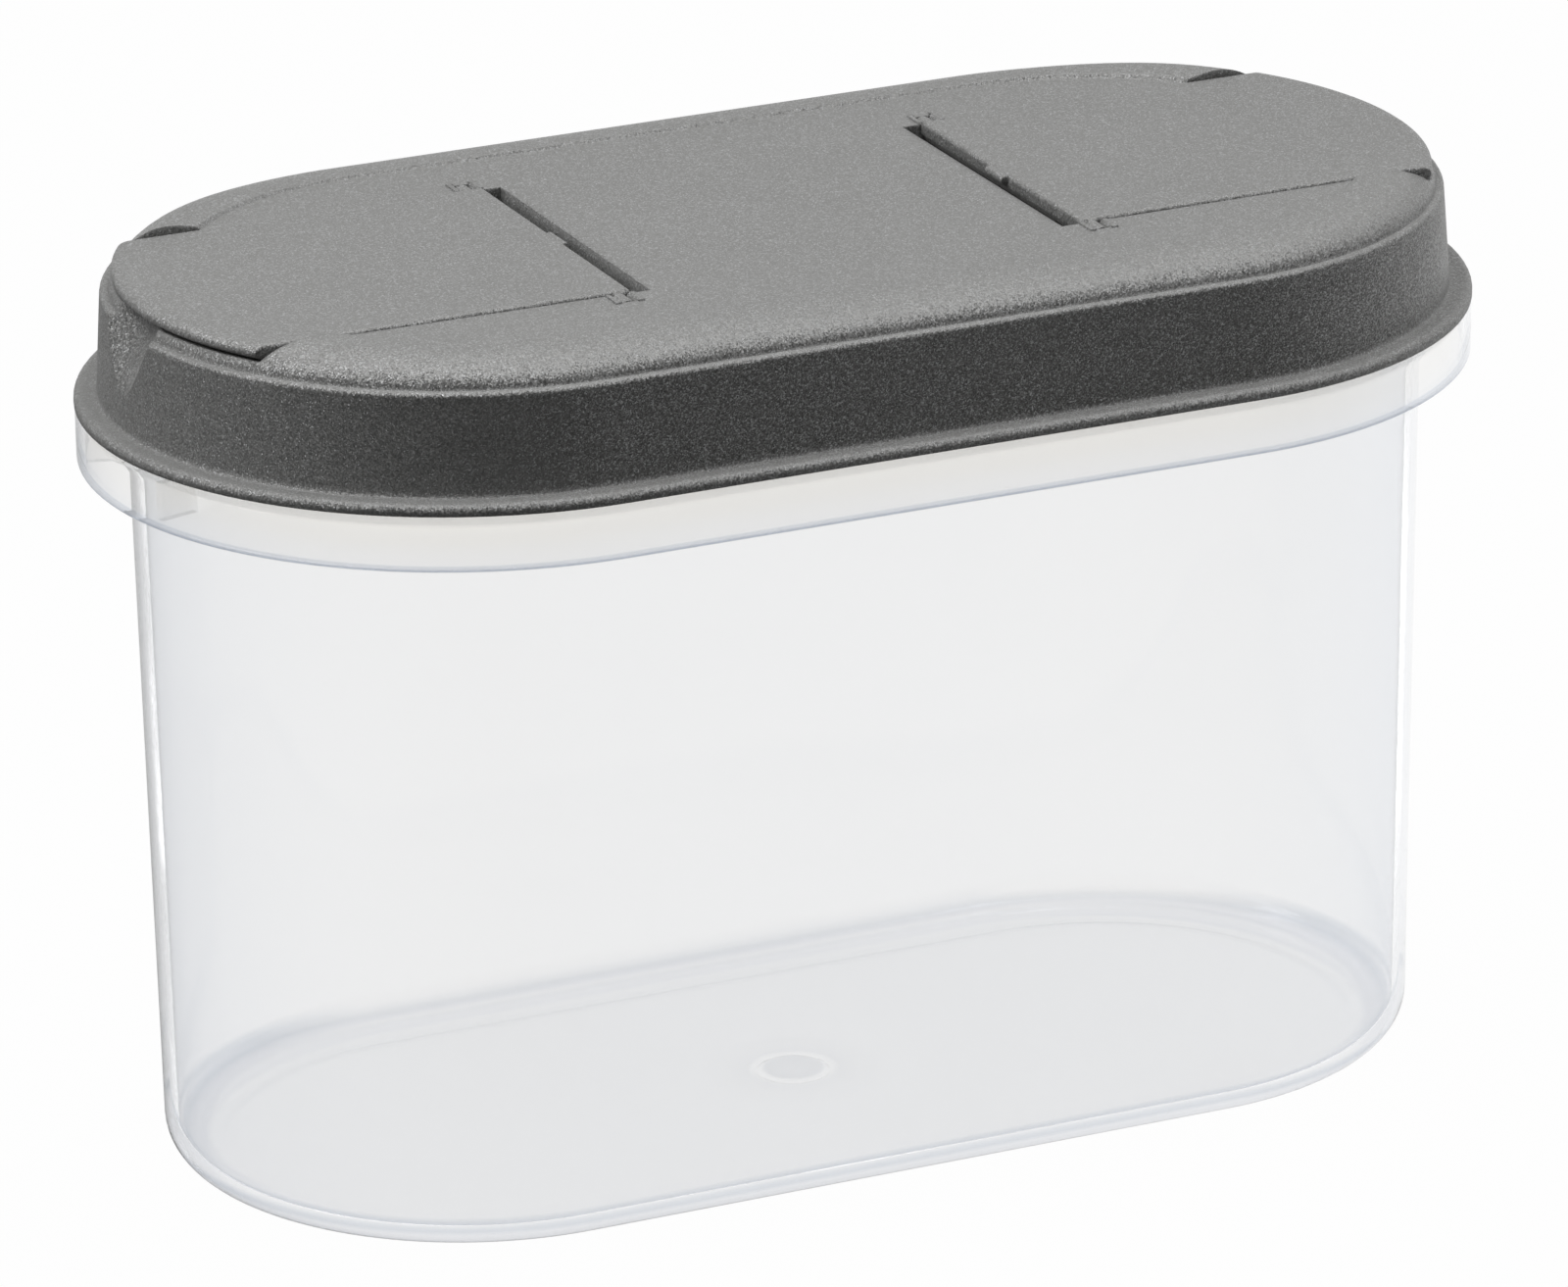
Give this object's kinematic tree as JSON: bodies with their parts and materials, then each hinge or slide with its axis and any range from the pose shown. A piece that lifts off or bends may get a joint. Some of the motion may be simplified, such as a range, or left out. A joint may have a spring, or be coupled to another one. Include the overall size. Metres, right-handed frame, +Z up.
{
  "type": "cereal container",
  "caption": "Oblong clear food container with a collar, a push-on lid and a hinged pouring flap at each end of the lid.",
  "frame": {"origin": "centre of the footprint, on the surface that the container stands on", "axes": "+X along the length, towards the right flap; +Y across the width; +Z up"},
  "size_m": [0.19, 0.102, 0.1221],
  "materials": {
    "clear": "clear, polished",
    "grey": "grey with fine metallic flakes, satin"
  },
  "bodies": {
    "tub": {"container": "clear"},
    "lid": {"lid": "grey"},
    "left_flap": {"left_flap": "grey"},
    "right_flap": {"right_flap": "grey"}
  },
  "joints": [
    {"name": "lid_lift", "type": "slide", "parent": "tub", "child": "lid", "axis": [0, 0, 1], "range_m": [0, 0.04]},
    {"name": "left_hinge", "type": "hinge", "parent": "lid", "child": "left_flap", "pos_m": [-0.0333, 0, 0.1203], "axis": [0, 1, 0], "range_deg": [0, 110]},
    {"name": "right_hinge", "type": "hinge", "parent": "lid", "child": "right_flap", "pos_m": [0.0333, 0, 0.1203], "axis": [0, -1, 0], "range_deg": [0, 110]}
  ]
}
